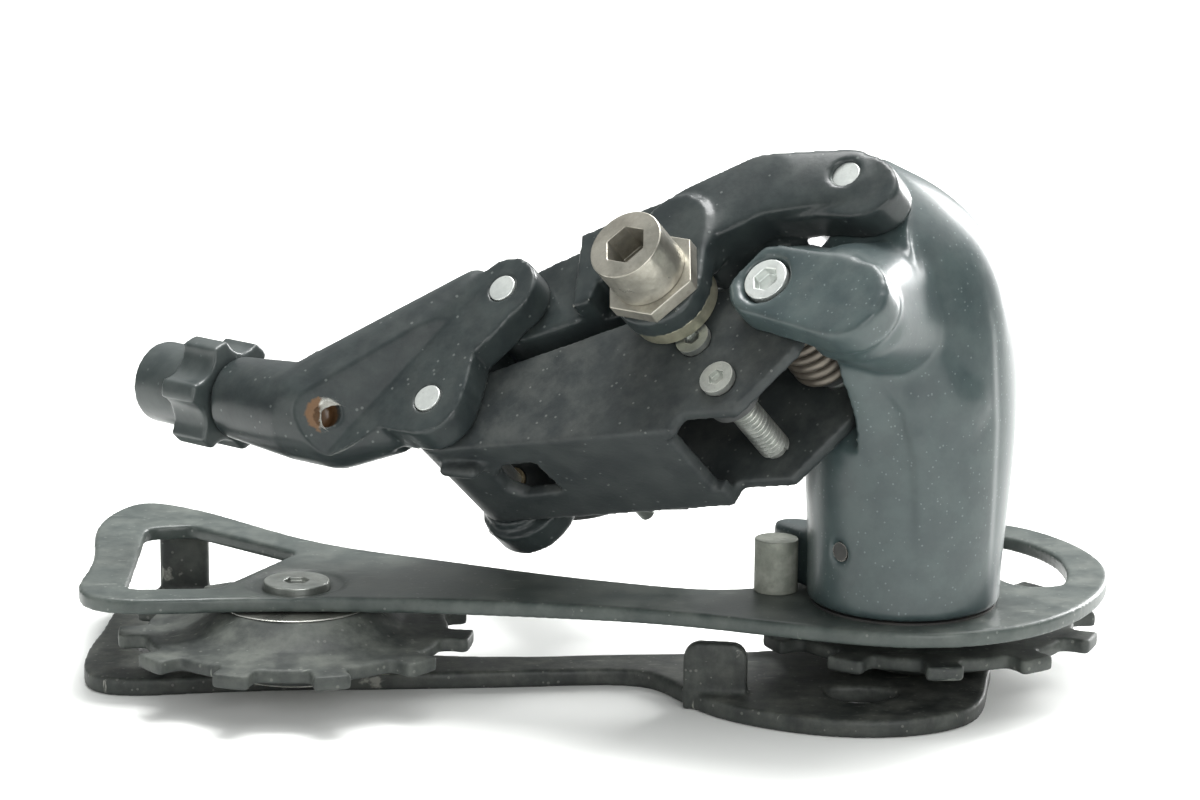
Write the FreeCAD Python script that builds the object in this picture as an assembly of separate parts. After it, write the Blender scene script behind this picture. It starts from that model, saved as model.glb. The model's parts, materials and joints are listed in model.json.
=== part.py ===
import FreeCAD, Part
import math
import os

# Rear bicycle derailleur, resting on its inner cage plate. Millimetres.
# Cage axes: Z is outboard, X runs from the tension pulley to the guide pulley, and the guide
# pulley's axis is at X = 0, Y = 0. The four link pins are parallel to each other and tilted, so
# the links are drawn in link axes: U and V across the pins, S along them, towards the outside.
# Everything is moved at the end so that the origin is the hanger bolt's seat on the frame.

# pulleys and chain
chain_pitch = 12.7
pulley_teeth = 11
pulley_tip_radius = 23.8
roller_radius = 4.0
pulley_mid_z = 7.1
tooth_width = 2.0
pulley_hub_half = 4.3
guide_phase = -11.0
tension_phase = 3.0

# cage
cage_length = 84.8
inner_plate_top = 2.4
outer_plate_base = 11.9
pulley_seat = 2.6
outer_plate_top = 14.0
stop_pin_at = (-21.25, -6.9)
stop_pin_radius = 2.9
stop_pin_top = 21.2

# knuckle and its spring
knuckle_axis = (-5.0, -12.2)
knuckle_base_z = 14.35
knuckle_base_radius = 12.7
drum_radius = 10.7
drum_top = 28.5
axle_radius = 5.0
journal_radius = 3.0
journal_base = 39.0
axle_top = 46.5
axle_screw_z = 22.8
axle_screw_radius = 1.25
spring_seat = 19.0
spring_top = 37.0
cage_spring_wire = 1.8
cage_spring_radius = 7.2

# link pins
pin_tilt = 48.0
pin_heading = -45.0
rear_outer_pin = (-39.5, 12.3)
rear_inner_pin = (-41.9, -5.4)
link_step = (41.8, 25.5)
pin_radius = 1.9
front_pin_radius = 2.5
bush_radius = 2.4
ear_face = 67.4
ear_inside = 62.7
far_ear_inside = 43.6
far_ear_face = 39.6
arm_face = 65.3
arm_inside = 60.3
far_arm_inside = 46.0
far_arm_face = 41.4
sheet = 2.0
flange_face = 62.5
far_flange_face = 43.8
boss_radius = 5.2
fork_radius = 8.9

# limit screws and the return spring's anchor, in the inner link
low_screw_at = (-3.2, 7.3)
high_screw_at = (-9.8, 12.2)
spring_post_at = (-22.6, -2.9)

# cable clamp
clamp_at = (-14.4, 16.2)
clamp_arm_face = 69.0
clamp_arm_base = 65.7
clamp_head_radius = 5.0
clamp_head_height = 6.6
clamp_plate = 2.0
clamp_nut_height = 2.1
clamp_nut_radius = 6.0

# barrel adjuster, along U
tube_v = -10.6
tube_s = 66.5
tube_radius = 5.6
tube_mouth = -58.3
tube_back = -74.1
adjuster_back = -89.0
cable_hole_radius = 2.9
housing_radius = 2.6

# hanger link
hanger_at = (-52.0, 41.0)
hanger_seat_z = 18.0
body_axle_at = (-48.0, 23.0)
link_plate_top = 24.0
body_boss_top = 40.0
hanger_thread_radius = 5.0
hanger_thread_length = 8.5
hanger_shoulder_radius = 5.6
b_screw_x = -33.5
b_screw_z = 27.2
b_stop_y = 20.0
screw_radius = 2.0

play = 0.05
gap = 0.3

pitch_radius = chain_pitch / (2 * math.sin(math.pi / pulley_teeth))
front_outer_pin = (rear_outer_pin[0] + link_step[0], rear_outer_pin[1] + link_step[1])
front_inner_pin = (rear_inner_pin[0] + link_step[0], rear_inner_pin[1] + link_step[1])

up = FreeCAD.Vector(0, 0, 1)
turn = FreeCAD.Rotation(up, pin_heading).multiply(FreeCAD.Rotation(FreeCAD.Vector(1, 0, 0), pin_tilt))
link_axes = FreeCAD.Placement(FreeCAD.Vector(), turn)
to_origin = FreeCAD.Vector(-hanger_at[0], -hanger_at[1], -hanger_seat_z)


def vec(x, y, z=0.0):
    return FreeCAD.Vector(x, y, z)


def post(at, radius, low, high):
    """A round bar along the third axis."""
    return Part.makeCylinder(radius, high - low, vec(at[0], at[1], low))


def ring(at, outer, inner, low, high):
    return post(at, outer, low, high).cut(post(at, inner, low - 1, high + 1))


def bar_u(v, s, radius, start, end):
    """A round bar along U."""
    return Part.makeCylinder(radius, end - start, vec(start, v, s), vec(1, 0, 0))


def block(low, high):
    size = [high[i] - low[i] for i in range(3)]
    return Part.makeBox(size[0], size[1], size[2], vec(*low))


def plate(points, low, high):
    """A plate with straight sides."""
    wire = Part.makePolygon([vec(x, y, low) for x, y in points + points[:1]])
    return Part.Face(wire).extrude(vec(0, 0, high - low))


def smooth_plate(points, low, high):
    """A plate whose outline is one smooth closed curve."""
    curve = Part.BSplineCurve()
    curve.interpolate(Points=[vec(x, y, low) for x, y in points], PeriodicFlag=True)
    return Part.Face(Part.Wire(curve.toShape())).extrude(vec(0, 0, high - low))


def rounded_plate(points, radius, low, high):
    """A plate with straight sides and rounded corners."""
    solid = plate(points, low, high)
    edges = [e for e in solid.Edges if abs(e.Vertexes[0].Z - e.Vertexes[-1].Z) > 1e-6]
    return solid.makeFillet(radius, edges)


def strap(a, radius_a, b, radius_b, low, high):
    """Two round ends and the tangent-sided bar between them."""
    dx, dy = b[0] - a[0], b[1] - a[1]
    length = math.hypot(dx, dy)
    along = math.atan2(dy, dx)
    lean = math.acos((radius_a - radius_b) / length)
    sides = []
    for at, radius in ((a, radius_a), (b, radius_b)):
        for sign in (1, -1):
            angle = along + sign * lean
            sides.append((at[0] + radius * math.cos(angle), at[1] + radius * math.sin(angle)))
    body = plate([sides[0], sides[1], sides[3], sides[2]], low, high)
    return body.fuse([post(a, radius_a, low, high), post(b, radius_b, low, high)]).removeSplitter()


def hex_socket(at, across_flats, low, high):
    radius = across_flats / math.sqrt(3)
    corners = [(at[0] + radius * math.cos(math.radians(60 * k)),
                at[1] + radius * math.sin(math.radians(60 * k))) for k in range(6)]
    return plate(corners, low, high)


def socket_screw(at, head_radius, head_low, head_high, shank_radius, tip, across_flats, depth):
    """A socket head screw whose shank runs from its head to tip."""
    low, high = min(head_low, head_high), max(head_low, head_high)
    screw = post(at, head_radius, low, high)
    screw = screw.fuse(post(at, shank_radius, min(tip, low), max(tip, high)))
    if head_high > head_low:
        return screw.cut(hex_socket(at, across_flats, head_high - depth, head_high + 1)).removeSplitter()
    return screw.cut(hex_socket(at, across_flats, head_high - 1, head_high + depth)).removeSplitter()


def coil(at, radius, wire, low, high, turns):
    """A helical spring as a swept wire."""
    helix = Part.makeHelix((high - low) / turns, high - low, radius)
    section = Part.Wire(Part.makeCircle(wire / 2, vec(radius, 0, 0), vec(0, 1, 0)))
    spring = Part.Wire(helix).makePipeShell([section], True, True)
    spring.translate(vec(at[0], at[1], low))
    return spring


def from_link_axes(shape):
    moved = shape.copy()
    moved.Placement = link_axes.multiply(moved.Placement)
    return moved


# cage

def outer_plate():
    outline = [(-113.5, 4), (-110.6, -5.8), (-98, -7.2), (-85, -7.2), (-64.7, -9.4), (-51.3, -12),
               (-36, -16.2), (-17.7, -24.3), (-5, -27.9), (8, -25.2), (20, -13.4), (25.2, 1), (22.5, 17),
               (13.5, 26.5), (2, 24.5), (-6, 13), (-15, 0.5), (-26, -5.6), (-39, -2.6), (-52, 3.4),
               (-66, 11.2), (-80, 19.6), (-92, 32), (-100.5, 40.8), (-106.5, 43.6), (-111, 38),
               (-112.8, 22)]
    solid = smooth_plate(outline, outer_plate_base, outer_plate_top)
    window = rounded_plate([(-107.6, -1.6), (-95.2, -1.6), (-84.6, 15.6), (-99.5, 30.5), (-106, 29.5)],
                           2.2, 10, 16)
    chain_gap = smooth_plate([(18.0, -5.0), (19.9, 4), (17.6, 14.5), (11.0, 21), (3.5, 20), (-1, 13.5),
                              (2.4, 6.5), (8.5, 1.0), (13.0, -6.5)], 10, 16)
    holes = [post((-cage_length, 0), 2.55, 10, 16), post((0, 0), 2.05, 10, 16),
             post(stop_pin_at, 1.75, 10, 16), post(knuckle_axis, 4.2, 10, 16),
             post((-cage_length, 0), 4.6, 13.0, 16)]
    return solid.cut([window, chain_gap] + holes)


def inner_plate():
    outline = [(-113.4, 3), (-111, -3.5), (-98, -4.4), (-70, -4.2), (-47, -3.8), (-38.5, -5.2),
               (-33, -14.6), (-23.5, -24.0), (-10, -28), (2, -23.5), (7.2, -10), (9, 2), (5, 9.5),
               (-6, 9.2), (-18, 4.6), (-40, 3.2), (-62, 3.6), (-77, 8.5), (-88, 19), (-94.5, 34),
               (-99.5, 41.5), (-106, 38), (-111.5, 20)]
    solid = smooth_plate(outline, 0, inner_plate_top)
    relief = smooth_plate([(-15, -13.6), (-10.5, -13.2), (-6, -15.6), (-9.6, -19.6), (-14.5, -18)], -1, 4)
    window = rounded_plate([(-107, 6), (-97, 9.5), (-101.5, 30)], 2.0, -1, 4)
    seat = post((0, 0), 6.4, 0, pulley_seat)
    tab = block((-4.2, -1.0, 0), (4.2, 1.0, 9.2))
    tab = tab.makeFillet(2.2, [e for e in tab.Edges if e.BoundBox.ZMin > 9 and e.BoundBox.YLength > 1.5])
    tab.rotate(vec(0, 0), up, -12)
    tab.translate(vec(-30.0, -14.4))
    guard = block((-104.4, 37.4, 0), (-97.4, 39.6, 11.6))
    solid = solid.fuse([seat, tab, guard]).cut([relief, window])
    solid = solid.cut([post((-cage_length, 0), 2.15, -1, 4), post((0, 0), 2.65, -1, 6),
                       post((0, 0), 4.5, -1, 1.7)])
    return solid.removeSplitter()


def pulley(at, bore, phase):
    """A toothed pulley: thin teeth, a dished web and a thick hub."""
    blank = post((0, 0), pulley_tip_radius, pulley_mid_z - tooth_width / 2, pulley_mid_z + tooth_width / 2)
    gaps = []
    for k in range(pulley_teeth):
        angle = 2 * math.pi * k / pulley_teeth + math.radians(phase)
        for radius, size in ((pitch_radius, roller_radius), (pitch_radius + 2.2, roller_radius + 0.5)):
            spot = (radius * math.cos(angle), radius * math.sin(angle))
            gaps.append(post(spot, size, 0, 14))
    blank = blank.cut(gaps)
    low, high = pulley_mid_z - pulley_hub_half, pulley_mid_z + pulley_hub_half
    profile = [(0, low), (10.6, low), (14.5, pulley_mid_z - 1.7), (17.6, pulley_mid_z - 1.0),
               (17.6, pulley_mid_z + 1.0), (14.5, pulley_mid_z + 1.7), (10.6, high), (0, high)]
    wire = Part.makePolygon([vec(x, 0, z) for x, z in profile + profile[:1]])
    hub = Part.Face(wire).revolve(vec(0, 0), up, 360)
    solid = blank.fuse(hub).removeSplitter()
    solid.translate(vec(*at))
    return solid.cut(post(at, bore, 0, 14))


def cage_parts():
    guide = (0, 0)
    tension = (-cage_length, 0)
    low, high = pulley_mid_z - pulley_hub_half, pulley_mid_z + pulley_hub_half
    axle_low, axle_high = inner_plate_top, outer_plate_base
    parts = {"cage_outer_plate": outer_plate(), "cage_inner_plate": inner_plate()}
    parts["guide_pulley"] = pulley(guide, 4.6, guide_phase)
    parts["tension_pulley"] = pulley(tension, 8.0, tension_phase)
    parts["guide_pulley_bush"] = ring(guide, 4.6, 3.5 + play, low + 0.3, high - 0.3)
    parts["guide_pulley_sleeve"] = ring(guide, 3.5, 2.6, pulley_seat, axle_high)
    parts["bearing_outer_ring"] = ring(tension, 8.0, 6.6, 5.1, 9.1)
    parts["bearing_inner_ring"] = ring(tension, 4.4, 2.6, 5.1, 9.1)
    balls = []
    for k in range(8):
        angle = math.radians(45 * k)
        spot = vec(tension[0] + 5.5 * math.cos(angle), 5.5 * math.sin(angle), 7.1)
        balls.append(Part.makeSphere(1.04, spot))
    parts["bearing_balls"] = Part.makeCompound(balls)
    spacers = [ring(tension, 4.0, 2.6, axle_low, 5.1), ring(tension, 4.0, 2.6, 9.1, axle_high)]
    parts["tension_spacers"] = Part.makeCompound(spacers)
    lids = [ring(tension, 7.95, 4.0 + play, 4.1, 4.6), ring(tension, 7.95, 4.0 + play, 9.6, 10.1)]
    parts["bearing_seals"] = Part.makeCompound(lids)
    covers = []
    for z, step in ((low, -1), (high, 1)):
        cap_low, cap_high = sorted((z + step * 0.02, z + step * 0.27))
        covers.append(ring(tension, 10.2, 4.3, cap_low, cap_high))
    parts["tension_dust_caps"] = Part.makeCompound(covers)
    parts["guide_pulley_bolt"] = socket_screw(guide, 4.4, 1.7, 0.1, 2.6, 11.9, 3.0, 1.2)
    parts["guide_pulley_bolt"] = parts["guide_pulley_bolt"].fuse(post(guide, 2.05, 11.9, 13.6))
    parts["tension_pulley_bolt"] = socket_screw(tension, 4.4, 13.0, 15.3, 2.55, 2.4, 3.0, 1.6)
    parts["tension_pulley_bolt"] = parts["tension_pulley_bolt"].fuse(post(tension, 2.1, 0.5, 2.4))
    pin = post(stop_pin_at, stop_pin_radius, outer_plate_top, stop_pin_top)
    parts["cage_stop_pin"] = pin.fuse(post(stop_pin_at, 1.7, 12.0, outer_plate_top)).removeSplitter()
    return parts


# knuckle

def knuckle_column():
    """The leaning column, as a loft of round sections that shrink and lean back at the top."""
    x, y = knuckle_axis
    sections = [(knuckle_base_z, x, y, 12.7), (18, x, y, 12.75), (23, x + 0.1, y, 12.95),
                (33, x + 0.2, y, 13.6), (44, x + 0.1, y, 13.9), (53, x - 0.5, y, 13.6),
                (60, x - 1.5, y, 12.6), (65, x - 2.9, y + 0.3, 10.8), (69.5, x - 5.0, y + 0.6, 7.4),
                (72.6, x - 6.5, y + 0.8, 2.9)]
    wires = [Part.Wire(Part.makeCircle(r, vec(cx, cy, z))) for z, cx, cy, r in sections]
    return Part.makeLoft(wires, True)


def knuckle_shoulder():
    """The mass that flows from the column's front out to the lower link pin."""
    stations = [(33, (-5.5, -14.0), 11.0, (-7.0, -15.5), 9.0),
                (42, (-5.5, -14.0), 11.5, (-10.5, -17.5), 8.0),
                (50, (-6.0, -14.0), 11.5, (-15.5, -20.0), 7.2),
                (57, (-7.5, -14.0), 10.5, (-19.0, -22.5), 6.6),
                (63, (-9.5, -14.0), 9.0, (-20.5, -23.0), 5.6)]
    wires = []
    for z, back, back_radius, front, front_radius in stations:
        outline = strap(back, back_radius, front, front_radius, 0, 1).Faces
        flat = [f for f in outline if abs(f.CenterOfMass.z) < 1e-6][0]
        wire = flat.OuterWire.copy()
        wire.translate(vec(0, 0, z))
        wires.append(wire)
    return Part.makeLoft(wires, True, True)


def knuckle_ears():
    """The two ears for the front inner pin, in link axes."""
    inner = front_inner_pin
    near_ear = strap(inner, boss_radius, (12.5, 19.4), 5.8, ear_inside, ear_face)
    far_ear = strap(inner, boss_radius, (9.5, 18.5), 6.5, far_ear_face, far_ear_inside)
    return near_ear.fuse(far_ear)


def outer_link_sweep():
    """The room that the outer link swings through, seen from the knuckle, in link axes."""
    reach = [(front_outer_pin[0] + 60 * math.cos(math.radians(angle)),
              front_outer_pin[1] + 60 * math.sin(math.radians(angle))) for angle in (106, 150, 200, 248)]
    return plate([front_outer_pin] + reach, far_arm_face - gap, arm_face + 30)


def knuckle_body():
    """The casting, with room cut for both links' swing, the drum, the spring and the pins."""
    outer, inner = front_outer_pin, front_inner_pin
    stop_lug = strap(knuckle_axis, 8, (-18.5, -1.3), 2.4, knuckle_base_z, 22)
    solid = knuckle_column().fuse([knuckle_shoulder(), from_link_axes(knuckle_ears()), stop_lug])
    solid = solid.cut(from_link_axes(outer_link_sweep()))
    lug = strap(outer, boss_radius, (9.5, 27.0), 5.4, far_arm_inside + gap, arm_inside - gap)
    solid = solid.fuse(from_link_axes(lug))
    beyond_ear = block((-90, -90, ear_face), (90, 90, 120))
    arm_room = post(outer, fork_radius, arm_inside - gap, 90)
    far_arm_room = post(outer, fork_radius, 20, far_arm_inside + gap)
    flange_rooms = [post(inner, boss_radius + 0.6, flange_face - sheet - gap, ear_inside),
                    post(inner, boss_radius + 0.6, far_ear_inside, far_flange_face + sheet + gap)]
    link_room = plate([(-30, -12), (3.5, -4), (7.2, 12), (6.4, 21.5), (2.6, 25.8), (-1.5, 28.8), (-30, 30)],
                      far_ear_inside, ear_inside)
    bores = [post(inner, front_pin_radius, 30, 80), post(inner, 4.2, 65.9, 80),
             post(outer, 3.2 + play, 30, 80)]
    tools = [beyond_ear, arm_room, far_arm_room, link_room] + flange_rooms + bores
    solid = solid.cut([from_link_axes(tool) for tool in tools])
    hollow = [post(knuckle_axis, drum_radius + play, 10, journal_base - 0.5),
              post(knuckle_axis, journal_radius + 0.7, 30, axle_top + 0.5)]
    screw_hole = Part.makeCylinder(axle_screw_radius, 20, vec(knuckle_axis[0], knuckle_axis[1], axle_screw_z),
                                   vec(-0.78, -0.63, 0))
    return solid.cut(hollow + [screw_hole])


def knuckle_parts():
    x, y = knuckle_axis
    parts = {"knuckle_body": knuckle_body()}
    parts["knuckle_bush"] = ring(knuckle_axis, journal_radius + 0.7, journal_radius + play,
                                 journal_base, axle_top)
    drum = post(knuckle_axis, drum_radius, outer_plate_top, drum_top)
    drum = drum.cut(ring(knuckle_axis, drum_radius + 1, 9.3, axle_screw_z - 1.5, axle_screw_z + 1.5))
    drum = drum.cut(ring(knuckle_axis, 8.4, axle_radius, spring_seat, drum_top + 1))
    shaft = post(knuckle_axis, axle_radius, 16, journal_base - 1)
    shaft = shaft.fuse(post(knuckle_axis, journal_radius, journal_base - 2, axle_top))
    rivet = post(knuckle_axis, 4.2, outer_plate_base + 0.1, outer_plate_top)
    parts["cage_axle"] = drum.fuse([shaft, rivet]).removeSplitter()
    parts["cage_spring"] = coil(knuckle_axis, cage_spring_radius, cage_spring_wire, spring_seat + 1.0, spring_top, 7)
    parts["cage_seal_ring"] = ring(knuckle_axis, 12.2, drum_radius, outer_plate_top, knuckle_base_z - 0.1)
    screw = Part.makeCylinder(axle_screw_radius, 3.0, vec(x - 0.78 * 9.5, y - 0.63 * 9.5, axle_screw_z),
                              vec(-0.78, -0.63, 0))
    parts["axle_retaining_screw"] = screw
    return parts


# links

def web_window(corners):
    """A hole through the inner link's web, its corners given as U and S."""
    wire = Part.makePolygon([vec(u, -14, s) for u, s in corners + corners[:1]])
    return Part.Face(wire).extrude(vec(0, 20, 0))


def inner_link():
    outline = [(-45.3, -9.6), (-39.0, -9.9), (-6.8, -0.9), (-6.6, 1.8), (0.8, 3.6), (5.2, 13.6),
               (5.1, 20.5), (-3.0, 24.4), (-44.7, -1.0), (-46.9, -4.6)]
    a, c = rear_inner_pin, front_inner_pin
    solid = plate(outline, far_flange_face, flange_face)
    for at in (a, c):
        solid = solid.fuse(post(at, boss_radius, far_flange_face, flange_face))
    rise = (9.0 / 32.4)
    room = plate([(-60, -9.9 - 21 * rise + sheet), (20, -9.9 + 59 * rise + sheet), (20, 40), (-60, 40)],
                 far_flange_face + sheet, flange_face - sheet)
    solid = solid.cut([room])
    lip = block((-8.0, -6, far_flange_face + sheet + 2), (8, 8, flange_face - sheet))
    window = web_window([(-34.6, 49.9), (-36.2, 51.6), (-36.0, 55.0), (-33.6, 57.4), (-28.9, 57.6), (-28.6, 50.2)])
    holes = [post(a, bush_radius, 40, 66), post(c, front_pin_radius + play, 40, 66)]
    holes += [post(at, screw_radius + play, 55, 66) for at in (low_screw_at, high_screw_at)]
    holes.append(post(spring_post_at, 1.1, 38, 48))
    return solid.cut([lip, window] + holes).removeSplitter()


def outer_link():
    """The broad outer link, forked at its front pin, with the arm that carries the cable clamp."""
    a, c = rear_outer_pin, front_outer_pin
    crown = [(-44.5, 13.5), (-41.0, 17.4), (-30, 25.6), (-19, 33.0), (-11, 37.3), (-2, 40.7), (3.0, 41.4),
             (8.4, 39.9), (10.6, 36.3), (8.4, 32.8), (1.5, 31.4), (-7, 27.6), (-17, 20.6), (-27, 13.6),
             (-35, 8.6), (-40.5, 7.2), (-44.2, 9.8)]
    solid = smooth_plate(crown, far_arm_face, arm_face)
    near_clear = post(a, 7.2, ear_inside - gap, 90).fuse(post(a, 7.2, 20, far_ear_inside + gap))
    fork = strap(c, fork_radius, (c[0] + 12, c[1] - 14), 7.4, far_arm_inside, arm_inside)
    rear_side = [(-60, -10), (-27, 8), (-33, 22), (-40, 40), (-60, 40)]
    near_side = plate(rear_side, ear_inside - gap, 90)
    far_side = plate(rear_side, 20, far_ear_inside + gap)
    lower = plate([(-26, 5), (10, 25), (8, 31.6), (0.5, 31.2), (-9, 28.4), (-17, 23.5), (-27, 17)],
                  arm_inside, 90)
    solid = solid.cut([near_clear, fork, near_side, far_side, lower])
    elbow = (-16.4, 24.6)
    arm = strap(clamp_at, 6.4, elbow, 5.0, clamp_arm_base, clamp_arm_face)
    arm = arm.fuse(strap(elbow, 5.0, (-9.0, 32.0), 3.8, arm_inside - 2, clamp_arm_face - 1.6))
    bores = [post(a, pin_radius + 0.6, 30, 80), post(c, pin_radius, 30, 80), post(clamp_at, 2.5, 60, 80)]
    arm = arm.cut(post(clamp_at, clamp_nut_radius + 0.1, 50, clamp_arm_base))
    return solid.fuse(arm).cut(bores).removeSplitter()


def link_parts():
    a, c = rear_inner_pin, front_inner_pin
    parts = {"inner_link": inner_link(), "outer_link": outer_link()}
    parts["rear_inner_pin"] = post(rear_inner_pin, pin_radius, far_ear_face, ear_face + 0.1)
    parts["rear_outer_pin"] = post(rear_outer_pin, pin_radius, far_ear_face, ear_face + 0.1)
    parts["front_outer_pin"] = post(front_outer_pin, pin_radius, far_arm_face, arm_face + 0.1)
    head = socket_screw(c, 2.95, 65.9, 67.3, front_pin_radius, far_ear_face + 0.2, 3.0, 1.3)
    parts["front_inner_pin"] = head
    parts["rear_inner_bushes"] = Part.makeCompound(
        [ring(a, bush_radius, pin_radius + play, low, low + sheet)
         for low in (far_flange_face, flange_face - sheet)])
    parts["rear_outer_bushes"] = Part.makeCompound(
        [ring(rear_outer_pin, pin_radius + 0.6, pin_radius + play, low, low + 5)
         for low in (far_ear_inside + gap, ear_inside - gap - 5)])
    parts["front_outer_bush"] = ring(front_outer_pin, 3.2 + play, pin_radius + play,
                                     far_arm_inside + gap, arm_inside - gap)
    for name, at, length in (("low", low_screw_at, 16.3), ("high", high_screw_at, 14.5)):
        parts[name + "_limit_screw"] = socket_screw(at, 2.3, flange_face + 0.05, flange_face + 0.9,
                                                    screw_radius, flange_face - length, 2.0, 0.7)
    grip = strap(low_screw_at, 3.6, high_screw_at, 3.6, flange_face - sheet - 2.2, flange_face - sheet)
    parts["limit_screw_grip"] = grip.cut([post(at, screw_radius + play, 50, 70)
                                          for at in (low_screw_at, high_screw_at)])
    parts["spring_post"] = post(spring_post_at, 1.1, far_flange_face - 3.6, far_flange_face + sheet + 1.5)
    return_coil = coil(front_inner_pin, 4.2, 1.4, 48.5, 58.6, 6)
    parts["return_spring"] = return_coil
    parts["spring_sleeve"] = ring(front_inner_pin, 3.3, front_pin_radius + play, 47.0, 59.8)
    bolt = socket_screw(clamp_at, clamp_head_radius, clamp_arm_face + clamp_plate,
                        clamp_arm_face + clamp_plate + clamp_head_height, 2.5,
                        clamp_arm_base - clamp_nut_height, 5.0, 4.4)
    parts["cable_clamp_bolt"] = bolt
    clamp = hex_socket(clamp_at, 11.6, clamp_arm_face, clamp_arm_face + clamp_plate)
    parts["cable_clamp_plate"] = clamp.cut(post(clamp_at, 2.5, 60, 80))
    nut = ring(clamp_at, clamp_nut_radius, 2.5, clamp_arm_base - clamp_nut_height, clamp_arm_base)
    parts["cable_clamp_nut"] = nut
    return {name: from_link_axes(shape) for name, shape in parts.items()}


# bracket body and adjuster

def link_ears():
    """The two ears for the rear link pins, the wall that joins them and the cable tube."""
    ear = [(-58.6, -2.4), (-53.1, 4.7), (-44.8, 14.0), (-39.5, 16.9), (-34.8, 12.5), (-36.6, 6.6),
           (-38.6, 2.6), (-36.9, -2.6), (-36.8, -6.6), (-39.6, -10.4), (-43.5, -10.9), (-49.6, -10.9),
           (-54, -8.6)]
    near_ear = plate(ear, ear_inside, ear_face)
    for at, radius in ((rear_outer_pin, 4.9), (rear_inner_pin, 5.4)):
        near_ear = near_ear.fuse(post(at, radius, ear_inside, ear_face))
    far_ear = strap(rear_outer_pin, 4.9, rear_inner_pin, 5.4, far_ear_face, far_ear_inside)
    wall = plate([(-57.5, -4.2), (-47.6, -7.5), (-47.4, 8.5), (-46.0, 13.4), (-52.5, 6.5), (-57.0, 1.0)],
                 far_ear_face + 0.4, ear_face - 1.0)
    neck = strap((-62, -5.8), 5.2, (-51, 1.0), 6.0, 58.0, ear_face - 0.5)
    tube = bar_u(tube_v, tube_s, tube_radius, tube_back, tube_mouth)
    return near_ear.fuse([far_ear, wall, neck, tube])


def bracket_body():
    """The bracket body, with the boss for its own axle behind the far ear."""
    boss = post(body_axle_at, 8.4, link_plate_top + 0.1, body_boss_top)
    rib = plate([(-56.4, 20), (-60.0, 8.0), (-50.5, 2.0), (-40.4, 21)], link_plate_top + 0.1,
                body_boss_top - 2)
    room = [plate([(-47.2, -20), (10, 0), (10, 60), (-44, 40), (-45.5, 16), (-47.2, 8)],
                  far_ear_inside, ear_inside),
            block((-100, -60, ear_inside - 6), (60, 60, 120)),
            post(rear_outer_pin, 6.2, far_ear_inside, ear_inside),
            post(rear_inner_pin, 6.4, far_ear_inside, ear_inside)]
    screw_lug = block((-50, 8, 26), (b_screw_x - 2, 14.5, 33))
    screw_lug = screw_lug.fuse(block((b_screw_x - 4, 8.8, 23.6), (b_screw_x + 4, 14.5, 32)))
    solid = boss.fuse([rib, screw_lug]).cut([from_link_axes(tool) for tool in room])
    bores = [post(rear_outer_pin, pin_radius, 30, 80), post(rear_inner_pin, pin_radius, 30, 80),
             post(rear_outer_pin, 6.2, far_ear_inside, ear_inside),
             post(rear_inner_pin, 6.4, far_ear_inside, ear_inside),
             bar_u(tube_v, tube_s, 3.0, -90, -64), bar_u(tube_v, tube_s, 1.6, -90, -50),
             bar_u(tube_v, tube_s, cable_hole_radius, -61.4, -56)]
    solid = solid.fuse(from_link_axes(link_ears()))
    solid = solid.cut([from_link_axes(tool) for tool in bores])
    screw_hole = Part.makeCylinder(screw_radius + play, 12, vec(b_screw_x, 5, b_screw_z), vec(0, 1, 0))
    return solid.cut([post(body_axle_at, 5.4, 20, 60), post(body_axle_at, 7.2, body_boss_top - 1.2, 60),
                      screw_hole])


def lobed_knob(start, end):
    """Six-lobed grip, along U."""
    knob = bar_u(tube_v, tube_s, 7.9, start, end)
    flutes = []
    for k in range(6):
        angle = math.radians(60 * k + 30)
        at = (tube_v + 9.6 * math.cos(angle), tube_s + 9.6 * math.sin(angle))
        flutes.append(bar_u(at[0], at[1], 3.6, start - 1, end + 1))
    return knob.cut(flutes)


def adjuster_parts():
    parts = {}
    knob = lobed_knob(tube_back - 7.0, tube_back - 0.6)
    knob = knob.fuse(bar_u(tube_v, tube_s, 5.6, adjuster_back, tube_back - 7.0))
    parts["adjuster_knob"] = knob.cut([bar_u(tube_v, tube_s, 4.0, -100, -60)]).removeSplitter()
    barrel = bar_u(tube_v, tube_s, 4.0, adjuster_back + 0.5, tube_back - 0.6)
    barrel = barrel.fuse(bar_u(tube_v, tube_s, 3.0 - play, tube_back - 0.6, -65.0))
    parts["adjuster_barrel"] = barrel.cut([bar_u(tube_v, tube_s, 3.2 + play, -100, tube_back - 3.0),
                                           bar_u(tube_v, tube_s, 1.2, -100, -50)]).removeSplitter()
    ferrule = bar_u(tube_v, tube_s, 3.2, adjuster_back + 0.5, tube_back - 3.2)
    ferrule = ferrule.cut([bar_u(tube_v, tube_s, housing_radius, -100, tube_back - 4.6),
                           bar_u(tube_v, tube_s, 1.0, -100, -60)])
    parts["housing_ferrule"] = ferrule
    return {name: from_link_axes(shape) for name, shape in parts.items()}


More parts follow.
